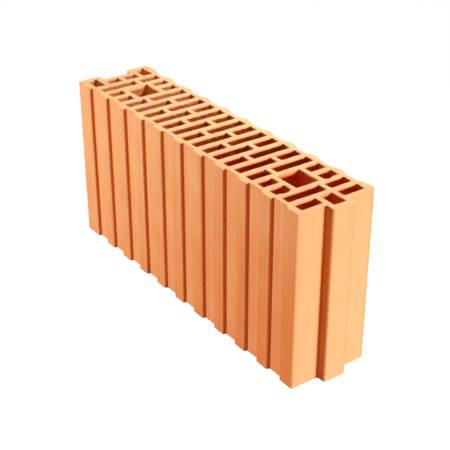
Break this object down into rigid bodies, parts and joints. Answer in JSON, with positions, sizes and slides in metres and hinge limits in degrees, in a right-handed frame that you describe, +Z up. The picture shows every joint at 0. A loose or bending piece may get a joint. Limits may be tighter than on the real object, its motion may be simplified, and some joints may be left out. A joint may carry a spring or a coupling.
{
  "type": "hollow clay block",
  "caption": "Fired clay partition block with rows of upright slots, grip holes, recessed long sides, and a tongue and a groove at its ends.",
  "frame": {"origin": "centre of the lower bed face, midway along the overall length with the tongue", "axes": "+X along the block towards the tongue, +Y across the wall thickness, +Z up, square to the bed faces"},
  "size_m": [0.5106, 0.115, 0.238],
  "materials": {
    "fired_clay": "unglazed, matt, with fine upright extrusion marks"
  },
  "bodies": {
    "root": {"clay_block": "fired_clay"}
  },
  "joints": []
}
